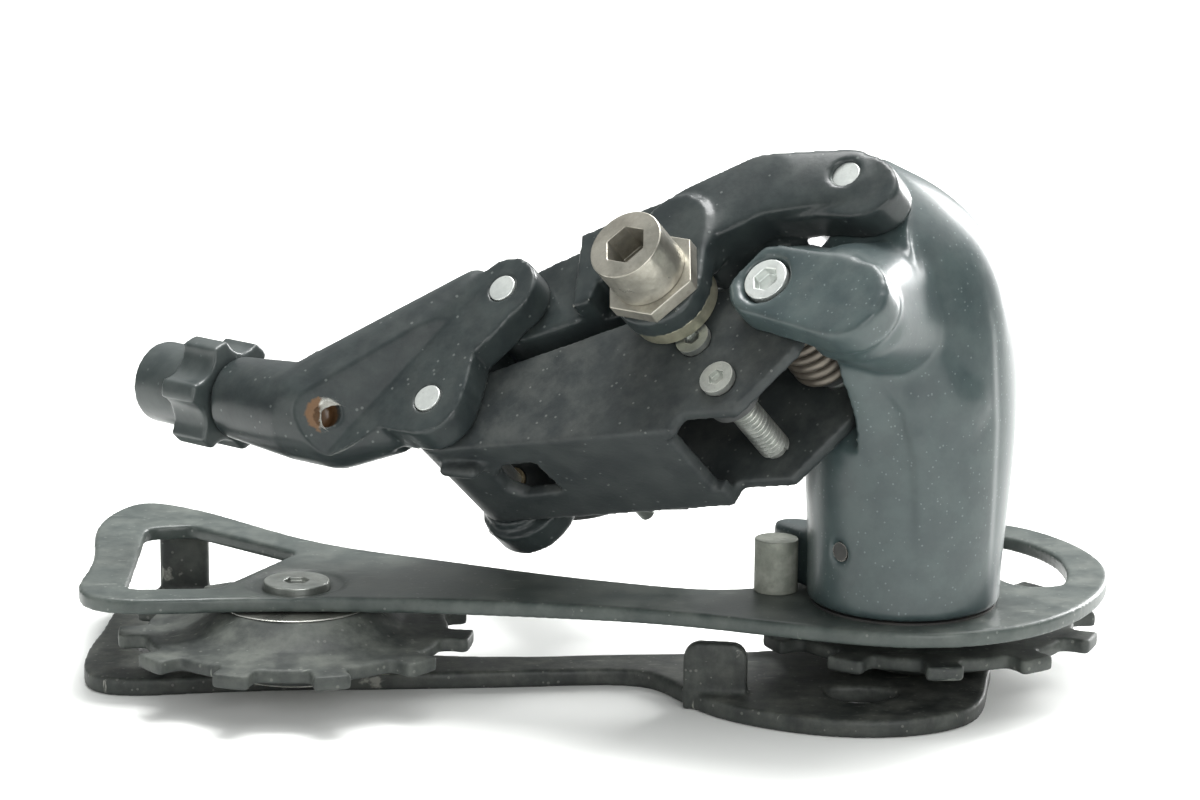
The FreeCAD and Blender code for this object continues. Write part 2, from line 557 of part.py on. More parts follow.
def hanger_parts():
    """The short link that carries the body below the frame's hanger, its two bolts and the stop."""
    seat = hanger_seat_z
    parts = {}
    link = strap(hanger_at, 8.6, body_axle_at, 8.2, seat, link_plate_top)
    link = link.fuse(block((-48, b_stop_y, seat), (b_screw_x + 3.5, 24.0, link_plate_top - 0.4)))
    link = link.fuse(block((b_screw_x - 3.5, b_stop_y, seat), (b_screw_x + 3.5, 24.0, b_screw_z + 3)))
    link = link.cut([post(hanger_at, hanger_shoulder_radius + play, 10, 30), post(body_axle_at, 4.0, 10, 30)])
    parts["hanger_link"] = link.removeSplitter()
    bolt = socket_screw(hanger_at, 7.8, link_plate_top + 0.05, link_plate_top + 3.8,
                        hanger_shoulder_radius, seat, 5.0, 3.0)
    thread = post(hanger_at, hanger_thread_radius, seat - hanger_thread_length, seat)
    parts["hanger_bolt"] = bolt.fuse(thread).removeSplitter()
    axle = socket_screw(body_axle_at, 7.0, body_boss_top - 1.1, body_boss_top + 1.0, 4.0, seat + 0.2, 5.0, 1.8)
    parts["body_axle_bolt"] = axle
    parts["body_axle_bush"] = ring(body_axle_at, 5.4, 4.0 + play, link_plate_top + 0.1, body_boss_top - 1.2)
    shank = Part.makeCylinder(screw_radius, 12.9, vec(b_screw_x, b_stop_y - 13.0, b_screw_z), vec(0, 1, 0))
    head = Part.makeCylinder(3.4, 2.4, vec(b_screw_x, b_stop_y - 15.4, b_screw_z), vec(0, 1, 0))
    socket = hex_socket((0, 0), 2.5, 0, 3)
    socket.rotate(vec(0, 0), vec(1, 0, 0), -90)
    socket.translate(vec(b_screw_x, b_stop_y - 17.0, b_screw_z))
    parts["b_tension_screw"] = shank.fuse(head).cut(socket)
    return parts


def all_parts():
    parts = {}
    parts.update(cage_parts())
    parts.update(knuckle_parts())
    parts.update(link_parts())
    parts["bracket_body"] = bracket_body()
    parts.update(adjuster_parts())
    parts.update(hanger_parts())
    return parts


def main():
    os.makedirs("parts", exist_ok=True)
    for name, shape in all_parts().items():
        placed = shape.copy()
        placed.translate(to_origin)
        placed.exportStep("parts/" + name + ".step")
        print(name, len(placed.Solids), round(placed.Volume, 1), placed.isValid())


main()
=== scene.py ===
import json
import math

import bmesh
import bpy
from mathutils import Matrix, Vector


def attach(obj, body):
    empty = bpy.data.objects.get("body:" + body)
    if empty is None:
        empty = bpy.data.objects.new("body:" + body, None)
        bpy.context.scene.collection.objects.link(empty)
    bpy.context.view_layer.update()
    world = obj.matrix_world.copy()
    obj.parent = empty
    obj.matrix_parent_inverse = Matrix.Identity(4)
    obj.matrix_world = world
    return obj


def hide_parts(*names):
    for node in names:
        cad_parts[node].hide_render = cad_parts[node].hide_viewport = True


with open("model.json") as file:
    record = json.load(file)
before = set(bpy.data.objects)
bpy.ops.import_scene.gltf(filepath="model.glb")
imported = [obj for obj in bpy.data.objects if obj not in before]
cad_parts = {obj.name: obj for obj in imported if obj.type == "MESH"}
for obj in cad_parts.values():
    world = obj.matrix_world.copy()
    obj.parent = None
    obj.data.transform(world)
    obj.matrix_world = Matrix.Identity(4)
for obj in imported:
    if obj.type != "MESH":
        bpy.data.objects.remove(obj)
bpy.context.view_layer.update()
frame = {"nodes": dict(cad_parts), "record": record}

# The CAD frame's origin is the hanger bolt's seat. Places below are in millimetres, either in cage
# axes (guide pulley at 0, 0, outboard up) or in link axes (along and across the tilted link pins).
millimetre = 0.001
cageShift = Vector((52.0, -41.0, -18.0))
linkAcross = Vector((0.70711, -0.70711, 0.0))
linkUp = Vector((0.47316, 0.47316, 0.74314))
linkAlong = Vector((-0.52549, -0.52549, 0.66913))
linkTurn = Matrix((linkAcross, linkUp, linkAlong)).transposed().to_4x4()
cagePlace = Matrix.Translation(cageShift * millimetre) @ Matrix.Scale(millimetre, 4)
linkPlace = cagePlace @ linkTurn
tensionCentre = -84.8  # the tension pulley, along the cage from the guide pulley

nodeBodies = {node: body for body, nodes in frame["record"]["behaviour"]["bodies"].items() for node in nodes}
nodeSlots = {part["node"]: part["material_slot"] for part in frame["record"]["subparts"]}


# node groups that several materials share


def newGroup(name, inputs, output):
    tree = bpy.data.node_groups.new(name, "ShaderNodeTree")
    for label, value in inputs.items():
        socket = tree.interface.new_socket(name=label, in_out="INPUT", socket_type="NodeSocketFloat")
        socket.default_value = value
    tree.interface.new_socket(name=output, in_out="OUTPUT", socket_type="NodeSocketFloat")
    source = tree.nodes.new("NodeGroupInput")
    target = tree.nodes.new("NodeGroupOutput")
    return tree, source, target


def addNode(tree, kind, settings=None, **inputs):
    node = tree.nodes.new(kind)
    for label, value in (settings or {}).items():
        setattr(node, label, value)
    for label, value in inputs.items():
        numbered = label.startswith("in") and label[2:].isdigit()  # in0, in1: sockets by number
        socket = node.inputs[int(label[2:]) if numbered else label]
        if isinstance(value, bpy.types.NodeSocket):
            tree.links.new(value, socket)
        else:
            socket.default_value = value
    return node


def mathNode(tree, operation, first, second=0.0, clamp=False):
    settings = {"operation": operation, "use_clamp": clamp}
    return addNode(tree, "ShaderNodeMath", settings, in0=first, in1=second).outputs[0]


def rampBetween(tree, value, low, high):
    node = addNode(tree, "ShaderNodeMapRange", {"interpolation_type": "SMOOTHSTEP"}, in0=value, in1=low, in2=high)
    return node.outputs[0]


def objectPlace(tree):
    return tree.nodes.new("ShaderNodeTexCoord").outputs["Object"]


def makeWornEdges():
    tree, source, target = newGroup("wornEdges", {"Width": 0.0004, "Amount": 0.5, "Grain": 900.0}, "Mask")
    bevel = addNode(tree, "ShaderNodeBevel", {"samples": 4}, Radius=source.outputs["Width"])
    geometry = tree.nodes.new("ShaderNodeNewGeometry")
    turn = addNode(tree, "ShaderNodeVectorMath", {"operation": "DOT_PRODUCT"}, in0=bevel.outputs[0],
                   in1=geometry.outputs["Normal"]).outputs["Value"]
    edge = mathNode(tree, "SUBTRACT", 1.0, turn)
    noise = addNode(tree, "ShaderNodeTexNoise", None, Vector=objectPlace(tree), Scale=source.outputs["Grain"],
                    Detail=4.0, Roughness=0.65)
    broken = mathNode(tree, "MULTIPLY", edge, mathNode(tree, "ADD", 0.35, noise.outputs["Fac"]))
    limit = mathNode(tree, "SUBTRACT", 0.42, mathNode(tree, "MULTIPLY", source.outputs["Amount"], 0.38))
    mask = rampBetween(tree, broken, limit, mathNode(tree, "ADD", limit, 0.07))
    tree.links.new(mask, target.inputs["Mask"])
    return tree


def makeSpecks():
    tree, source, target = newGroup("specks", {"Scale": 1500.0, "Share": 0.05, "Size": 0.25}, "Mask")
    cells = addNode(tree, "ShaderNodeTexVoronoi", None, Vector=objectPlace(tree), Scale=source.outputs["Scale"])
    near = mathNode(tree, "LESS_THAN", cells.outputs["Distance"], source.outputs["Size"])
    parts = addNode(tree, "ShaderNodeSeparateColor", None, in0=cells.outputs["Color"])
    chosen = mathNode(tree, "LESS_THAN", parts.outputs[0], source.outputs["Share"])
    tree.links.new(mathNode(tree, "MULTIPLY", near, chosen), target.inputs["Mask"])
    return tree


def makeDust():
    tree, source, target = newGroup("dust", {"Scale": 220.0, "Amount": 0.3, "Upward": 0.6}, "Mask")
    noise = addNode(tree, "ShaderNodeTexNoise", None, Vector=objectPlace(tree), Scale=source.outputs["Scale"],
                    Detail=8.0, Roughness=0.68)
    geometry = tree.nodes.new("ShaderNodeNewGeometry")
    height = addNode(tree, "ShaderNodeSeparateXYZ", None, in0=geometry.outputs["Normal"]).outputs["Z"]
    facing = mathNode(tree, "ADD", mathNode(tree, "MULTIPLY", height, source.outputs["Upward"]),
                      mathNode(tree, "SUBTRACT", 1.0, source.outputs["Upward"]), True)
    cloud = rampBetween(tree, noise.outputs["Fac"], 0.36, 0.74)
    mask = mathNode(tree, "MULTIPLY", mathNode(tree, "MULTIPLY", cloud, facing), source.outputs["Amount"], True)
    tree.links.new(mask, target.inputs["Mask"])
    return tree


def makeScuffs():
    tree, source, target = newGroup("scuffs", {"Scale": 120.0, "Amount": 0.3, "Stretch": 14.0}, "Mask")
    stretch = addNode(tree, "ShaderNodeCombineXYZ", None, X=1.0, Y=source.outputs["Stretch"], Z=1.0)
    turned = addNode(tree, "ShaderNodeMapping", None, Vector=objectPlace(tree), Rotation=(0.3, 0.5, 0.6),
                     Scale=stretch.outputs[0])
    noise = addNode(tree, "ShaderNodeTexNoise", None, Vector=turned.outputs[0], Scale=source.outputs["Scale"],
                    Detail=5.0, Roughness=0.6)
    limit = mathNode(tree, "SUBTRACT", 0.78, mathNode(tree, "MULTIPLY", source.outputs["Amount"], 0.3))
    mask = rampBetween(tree, noise.outputs["Fac"], limit, mathNode(tree, "ADD", limit, 0.05))
    tree.links.new(mask, target.inputs["Mask"])
    return tree


def makeSkin():
    tree, source, target = newGroup("skin", {"Scale": 1400.0, "Detail": 3.0}, "Height")
    fine = addNode(tree, "ShaderNodeTexNoise", None, Vector=objectPlace(tree), Scale=source.outputs["Scale"],
                   Detail=source.outputs["Detail"], Roughness=0.55)
    broad = addNode(tree, "ShaderNodeTexNoise", None, Vector=objectPlace(tree),
                    Scale=mathNode(tree, "MULTIPLY", source.outputs["Scale"], 0.13), Detail=2.0)
    both = mathNode(tree, "ADD", mathNode(tree, "MULTIPLY", fine.outputs["Fac"], 0.6),
                    mathNode(tree, "MULTIPLY", broad.outputs["Fac"], 0.4))
    tree.links.new(both, target.inputs["Height"])
    return tree


wornEdges = makeWornEdges()
specks = makeSpecks()
dust = makeDust()
scuffs = makeScuffs()
skin = makeSkin()


# materials, one for each finish

finishes = {
    "painted_knuckle": {"shine": 0.42, "edgeWidth": 0.0006,
                        "base": (0.028, 0.042, 0.044), "second": (0.040, 0.058, 0.058), "rough": 0.36, "coat": 0.15,
                        "coatRough": 0.18, "worn": (0.50, 0.52, 0.48), "wear": 0.10, "speck": (0.34, 0.40, 0.40),
                        "speckShare": 0.10, "speckScale": 2300, "dust": (0.223, 0.236, 0.211), "dustAmount": 0.10,
                        "bump": 0.05},
    "painted_casting": {"shine": 0.3, "rust": (0.11, 0.06, 0.028), "edgeWidth": 0.0009,
                        "base": (0.016, 0.021, 0.022), "second": (0.024, 0.031, 0.031), "rough": 0.33, "coat": 0.12,
                        "coatRough": 0.2, "worn": (0.62, 0.62, 0.56), "wear": 0.34, "speck": (0.35, 0.38, 0.36),
                        "speckShare": 0.05, "speckScale": 1500, "dust": (0.204, 0.216, 0.192), "dustAmount": 0.10,
                        "bump": 0.07},
    "black_sheet": {"shine": 0.26, "edgeWidth": 0.0006,
                    "base": (0.019, 0.023, 0.024), "second": (0.028, 0.033, 0.033), "rough": 0.46,
                    "worn": (0.45, 0.45, 0.40), "wear": 0.16, "speck": (0.36, 0.38, 0.35), "speckShare": 0.05,
                    "speckScale": 1700, "dust": (0.223, 0.229, 0.205), "dustAmount": 0.16, "bump": 0.10},
    "plate_aluminium": {"shine": 0.32, "edgeWidth": 0.0009,
                        "base": (0.036, 0.046, 0.043), "second": (0.054, 0.066, 0.061), "rough": 0.38, "coat": 0.12,
                        "coatRough": 0.3, "worn": (0.55, 0.57, 0.52), "wear": 0.36, "speck": (0.42, 0.44, 0.40),
                        "speckShare": 0.06, "speckScale": 1600, "dust": (0.288, 0.302, 0.266), "dustAmount": 0.22,
                        "scuff": 0.35, "bump": 0.09},
    "plate_steel": {"shine": 0.34, "edgeWidth": 0.0009,
                    "base": (0.018, 0.021, 0.020), "second": (0.032, 0.037, 0.034), "rough": 0.50,
                    "worn": (0.44, 0.44, 0.39), "wear": 0.30, "speck": (0.40, 0.40, 0.36), "speckShare": 0.10,
                    "speckScale": 1500, "dust": (0.288, 0.296, 0.256), "dustAmount": 0.30, "scuff": 0.4,
                    "bump": 0.14},
    "pulley_plastic": {"shine": 0.3, "edgeWidth": 0.0009,
                       "base": (0.024, 0.028, 0.027), "second": (0.044, 0.050, 0.046), "rough": 0.52,
                       "worn": (0.26, 0.28, 0.25), "wear": 0.40, "speck": (0.36, 0.37, 0.33), "speckShare": 0.10,
                       "speckScale": 1300, "dust": (0.216, 0.230, 0.202), "dustAmount": 0.42, "scuff": 0.4,
                       "bump": 0.14},
    "knob_plastic": {"shine": 0.4, "edgeWidth": 0.0006,
                     "base": (0.030, 0.038, 0.038), "second": (0.045, 0.054, 0.053), "rough": 0.30,
                     "worn": (0.22, 0.25, 0.24), "wear": 0.28, "speck": (0.25, 0.28, 0.27), "speckShare": 0.05,
                     "speckScale": 1500, "dust": (0.195, 0.210, 0.195), "dustAmount": 0.12, "bump": 0.05},
    "black_plastic": {"base": (0.018, 0.020, 0.020), "second": (0.028, 0.030, 0.030), "rough": 0.45,
                      "worn": (0.2, 0.2, 0.19), "wear": 0.2, "dust": (0.240, 0.240, 0.216), "dustAmount": 0.15,
                      "bump": 0.06},
    "anodised_black": {"base": (0.022, 0.026, 0.027), "second": (0.034, 0.038, 0.038), "rough": 0.36, "coat": 0.1,
                       "coatRough": 0.3, "worn": (0.55, 0.56, 0.52), "wear": 0.25, "dust": (0.272, 0.280, 0.248),
                       "dustAmount": 0.14, "scuff": 0.2, "bump": 0.07},
    "black_steel": {"base": (0.035, 0.036, 0.036), "second": (0.06, 0.06, 0.057), "rough": 0.40, "metal": 0.5,
                    "worn": (0.5, 0.48, 0.43), "wear": 0.3, "dust": (0.28, 0.25, 0.2), "dustAmount": 0.18,
                    "bump": 0.10},
    "screw_steel": {"base": (0.46, 0.48, 0.45), "second": (0.30, 0.32, 0.30), "rough": 0.34, "metal": 0.9,
                    "worn": (0.72, 0.72, 0.68), "wear": 0.35, "speck": (0.06, 0.055, 0.045), "speckShare": 0.18,
                    "speckScale": 1900, "dust": (0.074, 0.068, 0.056), "dustAmount": 0.45, "bump": 0.10},
    "pin_steel": {"base": (0.74, 0.77, 0.74), "second": (0.56, 0.59, 0.57), "rough": 0.34, "metal": 0.75,
                  "worn": (0.8, 0.8, 0.77), "wear": 0.2, "speck": (0.10, 0.10, 0.09), "speckShare": 0.12,
                  "speckScale": 2600, "dust": (0.165, 0.173, 0.158), "dustAmount": 0.22, "bump": 0.12},
    "worn_zinc": {"base": (0.47, 0.45, 0.39), "second": (0.30, 0.29, 0.25), "rough": 0.28, "metal": 0.85,
                  "worn": (0.80, 0.78, 0.72), "wear": 0.35, "speck": (0.05, 0.045, 0.035), "speckShare": 0.16,
                  "speckScale": 900, "dust": (0.062, 0.053, 0.037), "dustAmount": 0.60, "scuff": 0.3,
                  "scuffColour": (0.78, 0.77, 0.72), "bump": 0.14},
    "corroded_steel": {"base": (0.168, 0.182, 0.154), "second": (0.294, 0.308, 0.266), "rough": 0.62, "metal": 0.35,
                       "worn": (0.55, 0.56, 0.50), "wear": 0.3, "speck": (0.10, 0.10, 0.085), "speckShare": 0.4,
                       "speckScale": 1100, "dust": (0.070, 0.070, 0.056), "dustAmount": 0.45, "bump": 0.35},
    "brass_spacer": {"base": (0.20, 0.20, 0.15), "second": (0.33, 0.32, 0.24), "rough": 0.42, "metal": 0.7,
                     "worn": (0.6, 0.58, 0.45), "wear": 0.3, "dust": (0.09, 0.08, 0.06), "dustAmount": 0.5,
                     "bump": 0.15},
    "spring_steel": {"base": (0.102, 0.090, 0.075), "second": (0.162, 0.144, 0.120), "rough": 0.36, "metal": 0.7,
                     "worn": (0.5, 0.48, 0.42), "wear": 0.1, "dust": (0.072, 0.060, 0.045), "dustAmount": 0.4,
                     "bump": 0.08},
    "cap_steel": {"base": (0.40, 0.40, 0.37), "second": (0.25, 0.26, 0.23), "rough": 0.26, "metal": 0.9,
                  "worn": (0.7, 0.7, 0.66), "wear": 0.25, "speck": (0.07, 0.065, 0.05), "speckShare": 0.14,
                  "speckScale": 1500, "dust": (0.096, 0.090, 0.072), "dustAmount": 0.4, "bump": 0.06},
    "bearing_steel": {"base": (0.55, 0.56, 0.55), "second": (0.42, 0.43, 0.42), "rough": 0.16, "metal": 1.0,
                      "worn": (0.7, 0.7, 0.7), "wear": 0.1, "dust": (0.2, 0.18, 0.14), "dustAmount": 0.15,
                      "bump": 0.02},
    "dark_aluminium": {"base": (0.12, 0.13, 0.13), "second": (0.2, 0.21, 0.21), "rough": 0.34, "metal": 0.7,
                       "worn": (0.6, 0.6, 0.57), "wear": 0.2, "dust": (0.2, 0.19, 0.16), "dustAmount": 0.25,
                       "bump": 0.05},
    "bushing": {"base": (0.30, 0.24, 0.14), "second": (0.2, 0.16, 0.1), "rough": 0.42, "metal": 0.6,
                "worn": (0.6, 0.5, 0.3), "wear": 0.1, "dust": (0.1, 0.09, 0.07), "dustAmount": 0.3, "bump": 0.08},
    "seal_rubber": {"base": (0.018, 0.018, 0.018), "second": (0.03, 0.03, 0.028), "rough": 0.62,
                    "worn": (0.12, 0.12, 0.11), "wear": 0.2, "dust": (0.22, 0.2, 0.17), "dustAmount": 0.3,
                    "bump": 0.1},
}


def mixColour(tree, factor, first, second):
    node = tree.nodes.new("ShaderNodeMix")
    node.data_type = "RGBA"
    for socket, value in ((node.inputs[0], factor), (node.inputs[6], first), (node.inputs[7], second)):
        if isinstance(value, bpy.types.NodeSocket):
            tree.links.new(value, socket)
        else:
            socket.default_value = value if isinstance(value, (int, float)) else (*value, 1.0)
    return node.outputs[2]


def useGroup(tree, group, **inputs):
    node = tree.nodes.new("ShaderNodeGroup")
    node.node_tree = group
    for label, value in inputs.items():
        node.inputs[label].default_value = value
    return node.outputs[0]


def makeFinish(name):
    look = finishes[name]
    material = bpy.data.materials.new(name)
    material.use_nodes = True
    tree = material.node_tree
    shader = tree.nodes["Principled BSDF"]
    metal = look.get("metal", 0.0)
    cloud = addNode(tree, "ShaderNodeTexNoise", None, Vector=objectPlace(tree), Scale=260.0,
                    Detail=6.0, Roughness=0.6)
    colour = mixColour(tree, rampBetween(tree, cloud.outputs["Fac"], 0.34, 0.68), look["base"], look["second"])
    if "speck" in look:
        spots = useGroup(tree, specks, Scale=look["speckScale"], Share=look["speckShare"], Size=0.3)
        colour = mixColour(tree, mathNode(tree, "MULTIPLY", spots, 0.16), colour, look["speck"])
    if "scuff" in look:
        marks = useGroup(tree, scuffs, Scale=130.0, Amount=look["scuff"], Stretch=12.0)
        colour = mixColour(tree, mathNode(tree, "MULTIPLY", marks, 0.45), colour,
                           look.get("scuffColour", look["worn"]))
    film = useGroup(tree, dust, Scale=190.0, Amount=look["dustAmount"],
                    Upward=0.25 if metal else 0.55)
    colour = mixColour(tree, film, colour, look["dust"])
    edges = useGroup(tree, wornEdges, Width=look.get("edgeWidth", 0.00035), Amount=look["wear"], Grain=700.0)
    colour = mixColour(tree, edges, colour, look["worn"])
    if "rust" in look:
        stain = addNode(tree, "ShaderNodeAttribute", {"attribute_name": "stain"}).outputs["Fac"]
        colour = mixColour(tree, stain, colour, look["rust"])
        edges = mathNode(tree, "MULTIPLY", edges, mathNode(tree, "SUBTRACT", 1.0, stain))
    tree.links.new(colour, shader.inputs["Base Color"])
    rough = mathNode(tree, "ADD", mathNode(tree, "MULTIPLY", cloud.outputs["Fac"], 0.14),
                     look["rough"] - 0.07)
    rough = mathNode(tree, "ADD", rough, mathNode(tree, "MULTIPLY", film, 0.4), True)
    tree.links.new(rough, shader.inputs["Roughness"])
    shine = mathNode(tree, "MAXIMUM", mathNode(tree, "MULTIPLY", edges, 0.7), metal)
    shine = mathNode(tree, "SUBTRACT", shine, mathNode(tree, "MULTIPLY", film, 0.6 * metal), True)
    tree.links.new(shine, shader.inputs["Metallic"])
    shader.inputs["Specular IOR Level"].default_value = look.get("shine", 0.5)
    shader.inputs["Coat Weight"].default_value = look.get("coat", 0.0)
    shader.inputs["Coat Roughness"].default_value = look.get("coatRough", 0.2)
    surface = useGroup(tree, skin, Scale=1500.0, Detail=3.0)
    bump = addNode(tree, "ShaderNodeBump", None, Strength=look["bump"], Distance=0.0004, Height=surface)
    tree.links.new(bump.outputs[0], shader.inputs["Normal"])
    return material


materials = {name: makeFinish(name) for name in finishes}
print("finishes:", len(materials))


# mesh helpers

bends = {"turnedSharp": 32.0, "castingSharp": 50.0}  # degrees past which an edge is shaded sharp


def asObject(name, mesh):
    obj = bpy.data.objects.new(name, mesh)
    bpy.context.scene.collection.objects.link(obj)
    return obj


def paint(obj, node):
    obj.data.materials.clear()
    obj.data.materials.append(materials[nodeSlots[node]])


def bakeModifiers(obj):
    bpy.context.view_layer.update()
    evaluated = obj.evaluated_get(bpy.context.evaluated_depsgraph_get())
    mesh = bpy.data.meshes.new_from_object(evaluated)
    obj.modifiers.clear()
    obj.data = mesh
    return obj


def shadeBy(bm, angle):
    for face in bm.faces:
        face.smooth = True
    for edge in bm.edges:
        edge.smooth = len(edge.link_faces) != 2 or edge.calc_face_angle(0.0) < angle


def mergedCopy(name, node):
    bm = bmesh.new()
    bm.from_mesh(frame["nodes"][node].data)
    bmesh.ops.remove_doubles(bm, verts=bm.verts, dist=1.5e-6)
    bmesh.ops.dissolve_degenerate(bm, edges=bm.edges, dist=1e-6)
    bmesh.ops.dissolve_limit(bm, angle_limit=math.radians(0.6), verts=bm.verts, edges=bm.edges)
    shadeBy(bm, math.radians(bends["turnedSharp"]))
    mesh = bpy.data.meshes.new(name)
    bm.to_mesh(mesh)
    bm.free()
    obj = asObject(name, mesh)
    paint(obj, node)
    return obj


def addBevel(obj, width):
    bevel = obj.modifiers.new("edges", "BEVEL")
    bevel.width = width * millimetre
    bevel.segments = 2
    bevel.limit_method = "ANGLE"
    bevel.angle_limit = math.radians(bends["turnedSharp"])
    bevel.use_clamp_overlap = False
    bevel.harden_normals = True
    bevel.miter_outer = "MITER_ARC"


def settle(obj, node):
    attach(obj, nodeBodies[node])
    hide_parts(node)


def hullOf(place, *shapes):
    bm = bmesh.new()
    for shape in shapes:
        if len(shape) == 4:
            at = Matrix.Translation(Vector(shape[:3]))
            bmesh.ops.create_icosphere(bm, subdivisions=3, radius=shape[3], matrix=at)
        else:
            x, y, radius, low, high = shape
            for level in (low, high):
                at = Matrix.Translation(Vector((x, y, level)))
                bmesh.ops.create_circle(bm, segments=48, radius=radius, matrix=at)
    bmesh.ops.delete(bm, geom=bm.edges[:] + bm.faces[:], context="EDGES_FACES")
    bmesh.ops.remove_doubles(bm, verts=bm.verts, dist=0.02)
    made = bmesh.ops.convex_hull(bm, input=bm.verts, use_existing_faces=False)
    inside = {item for key in ("geom_interior", "geom_unused") for item in made[key]
              if isinstance(item, bmesh.types.BMVert)}
    bmesh.ops.delete(bm, geom=list(inside), context="VERTS")
    return placed(bm, place)


def placed(bm, place):
    bmesh.ops.transform(bm, matrix=place, verts=bm.verts)
    bmesh.ops.recalc_face_normals(bm, faces=bm.faces)
    mesh = bpy.data.meshes.new("shape")
    bm.to_mesh(mesh)
    bm.free()
    return mesh


def prism(place, outline, low, high):
    bm = bmesh.new()
    face = bm.faces.new([bm.verts.new((x, y, low)) for x, y in outline])
    raised = bmesh.ops.extrude_face_region(bm, geom=[face])
    lifted = [item for item in raised["geom"] if isinstance(item, bmesh.types.BMVert)]
    bmesh.ops.translate(bm, verts=lifted, vec=(0, 0, high - low))
    return placed(bm, place)


def roundBar(place, x, y, radius, low, high, segments=48):
    bm = bmesh.new()
    at = Matrix.Translation(Vector((x, y, (low + high) / 2)))
    bmesh.ops.create_cone(bm, cap_ends=True, segments=segments, radius1=radius, radius2=radius,
                          depth=high - low, matrix=at)
    return placed(bm, place)


def cutWith(mesh, cutters):
    work = asObject("work", mesh)
    tools = [asObject("tool", cutter) for cutter in cutters]
    for tool in tools:
        step = work.modifiers.new("cut", "BOOLEAN")
        step.operation = "DIFFERENCE"
        step.object = tool
        step.solver = "EXACT"
    bakeModifiers(work)
    result = work.data
    for obj in [work] + tools:
        bpy.data.objects.remove(obj)
    return result


def cleanCad(node):
    bm = bmesh.new()
    bm.from_mesh(frame["nodes"][node].data)
    bmesh.ops.remove_doubles(bm, verts=bm.verts, dist=1.5e-6)
    mesh = bpy.data.meshes.new(node)
    bm.to_mesh(mesh)
    bm.free()
    return mesh


def smoothOnce(bm):
    bmesh.ops.smooth_vert(bm, verts=bm.verts, factor=0.5, use_axis_x=True, use_axis_y=True, use_axis_z=True)


# Adds smooth metal to the CAD shape, cuts it, and rounds the whole as a casting.
def castPiece(name, node, adds=(), rooms=(), cuts=(), voxel=0.3, rounds=3, sculpt=None):
    solid = cleanCad(node)
    solid = cutWith(solid, cuts) if cuts else solid
    extra = [cutWith(add, list(rooms) + list(cuts)) if rooms or cuts else add for add in adds]
    bm = bmesh.new()
    for mesh in [solid] + extra:
        bm.from_mesh(mesh)
    whole = bpy.data.meshes.new(name)
    bm.to_mesh(whole)
    bm.free()
    obj = asObject(name, whole)
    remesh = obj.modifiers.new("remesh", "REMESH")
    remesh.mode = "VOXEL"
    remesh.voxel_size = voxel * millimetre
    bakeModifiers(obj)
    bm = bmesh.new()
    bm.from_mesh(obj.data)
    for step in range(rounds):
        smoothOnce(bm)
    if sculpt:
        bm.normal_update()
        sculpt(bm)
        smoothOnce(bm)
    shadeBy(bm, math.radians(bends["castingSharp"]))
    bm.to_mesh(obj.data)
    bm.free()
    paint(obj, node)
    settle(obj, node)
    print("cast", name, len(obj.data.polygons))
    return obj


# Marks the inside of a hole. The place turns hole axes into the scene's.
def stainHole(obj, place, low, high, reach):
    back = place.inverted()
    layer = obj.data.attributes.new("stain", "FLOAT", "POINT")
    for vert, entry in zip(obj.data.vertices, layer.data):
        spot = back @ vert.co
        inside = math.hypot(spot.x, spot.y) < reach and low < spot.z < high
        entry.value = 1.0 if inside else 0.0


def smoothStep(value, low, high):
    share = min(1.0, max(0.0, (value - low) / (high - low)))
    return share * share * (3 - 2 * share)


# bracket body: the cable tube flares into the ear, and a slanting face cuts it off

bracket = {"ridgeEnd": (-45.6, 12.6, 65.2, 2.6), "flare": 6.6, "faceAt": (-57.3, -8.8, 73.0),
           "faceNormal": (0.606, -0.22, 0.764), "earFace": 67.35, "voxel": 0.34,
           "holeAt": (-54.4, -11.7, 69.9), "holeLean": 62, "holeRadius": 1.9, "holeFloor": -2.6,
           "stainLow": -8.0, "stainHigh": -0.35, "stainSpread": 0.5}
holePlace = linkPlace @ (Matrix.Translation(Vector(bracket["holeAt"]))
                         @ Matrix.Rotation(math.radians(bracket["holeLean"]), 4, "Y"))


# Presses everything above the slanting face and the ear's flat down onto them.
def trimFace(bm):
    back = linkPlace.inverted()
    u, v, s = bracket["faceAt"]
    a, b, c = bracket["faceNormal"]
    for vert in bm.verts:
        place = back @ vert.co
        face = s - (a * (place.x - u) + b * (place.y - v)) / c
        limit = max(bracket["earFace"], face)
        if place.z > limit:
            vert.co = linkPlace @ Vector((place.x, place.y, limit))


